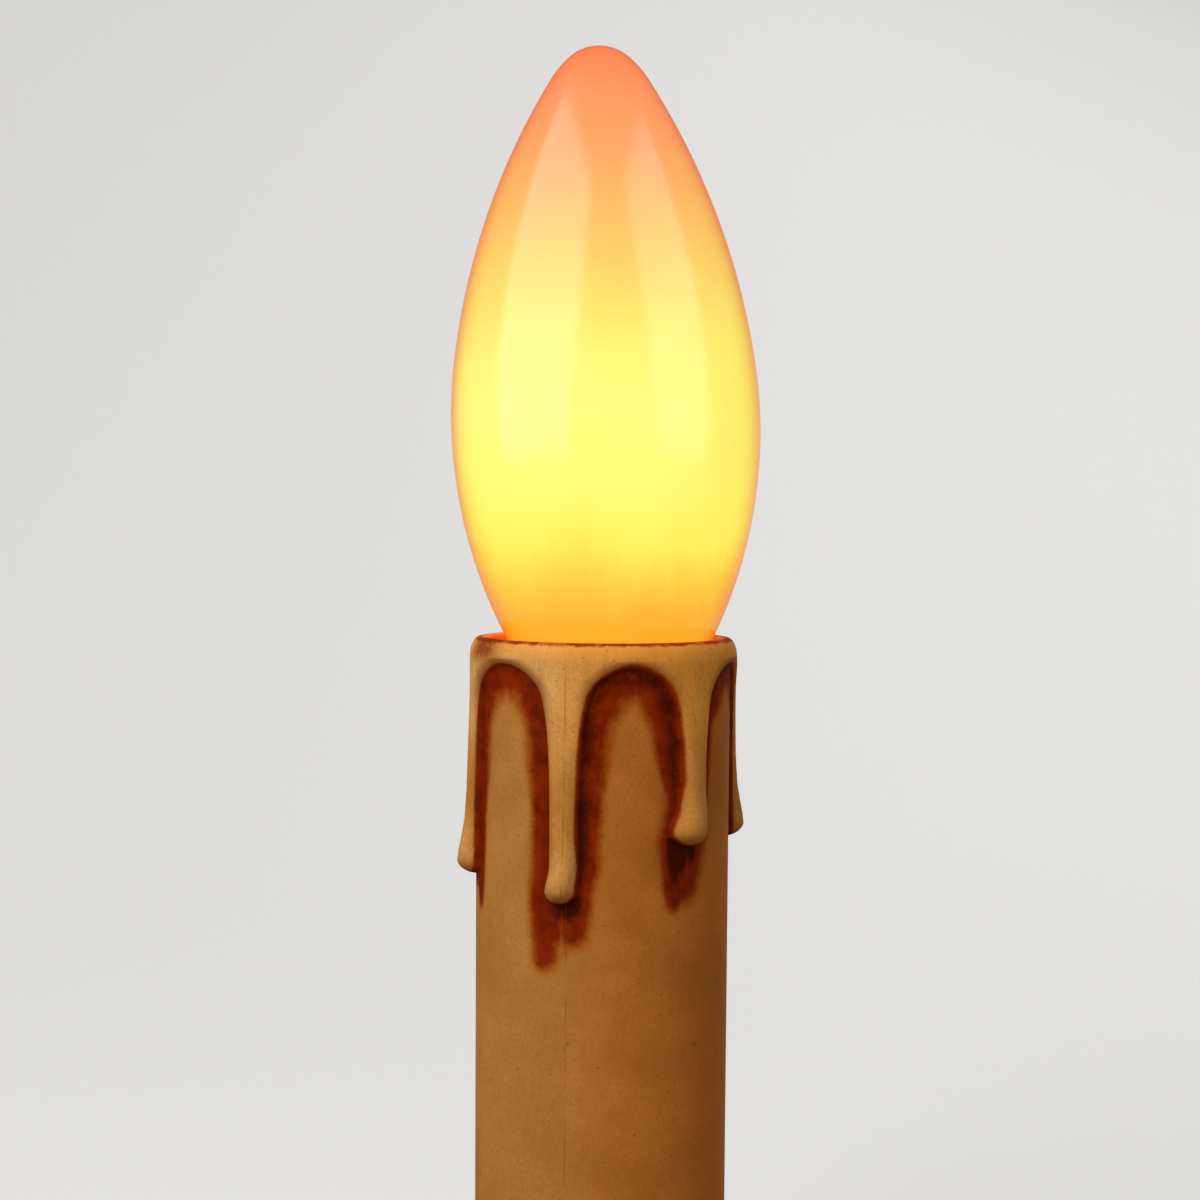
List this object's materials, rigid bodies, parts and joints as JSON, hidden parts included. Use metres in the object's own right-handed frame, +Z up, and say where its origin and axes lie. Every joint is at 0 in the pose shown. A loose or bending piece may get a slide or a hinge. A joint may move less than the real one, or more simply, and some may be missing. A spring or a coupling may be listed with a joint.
{
  "type": "electric candle lamp with holder and drip sleeve",
  "caption": "Lit candle-shaped lamp screwed into its lampholder, inside a cream candle sleeve with moulded wax drips, for a chandelier or wall light arm.",
  "frame": {"origin": "centre of the ring on which the sleeve and the lampholder's stirrup stand", "axes": "+Z up along the candle, -Y towards the picture's camera, +X to the right in the picture"},
  "size_m": [0.035, 0.035, 0.1517],
  "materials": {
    "opal_glass": "opal, lit warm",
    "nickel": "nickel-plated brass",
    "cement": "rough capping cement",
    "black_glass": "black glass",
    "solder": "dull solder",
    "cream_plastic": "matt, antiqued with brown between the drips",
    "black_moulding": "moulded thermoset",
    "brass": "bright",
    "bronze": "rolled strip",
    "plated_screw": "zinc plated",
    "zinc_sheet": "zinc plated sheet"
  },
  "bodies": {
    "holder": {"drip_sleeve": "cream_plastic", "holder_barrel": "black_moulding", "thread_shell": "brass", "contact_base": "black_moulding", "centre_contact": "bronze", "shell_contact": "bronze", "live_terminal": "brass", "neutral_terminal": "brass", "live_terminal_screw": "plated_screw", "neutral_terminal_screw": "plated_screw", "barrel_screw_right": "plated_screw", "barrel_screw_left": "plated_screw", "stirrup": "zinc_sheet", "stirrup_screw_right": "plated_screw", "stirrup_screw_left": "plated_screw", "thread_bush": "brass", "lock_screw": "plated_screw"},
    "cap_tip": {"cap_contact": "solder", "cap_insulator": "black_glass"},
    "bulb": {"bulb_glass": "opal_glass", "cap_shell": "nickel", "capping_cement": "cement", "side_solder": "solder"}
  },
  "joints": [
    {"name": "bulb_rise", "type": "slide", "parent": "holder", "child": "cap_tip", "axis": [0, 0, 1], "range_m": [0, 0.01269]},
    {"name": "bulb_turn", "type": "hinge", "parent": "cap_tip", "child": "bulb", "pos_m": [0, 0, 0.0844], "axis": [0, 0, 1], "range_deg": [0, 1620]}
  ],
  "couplings": [
    {"joint": "bulb_turn", "follows": "bulb_rise", "rad_per_m": 2226.5}
  ]
}
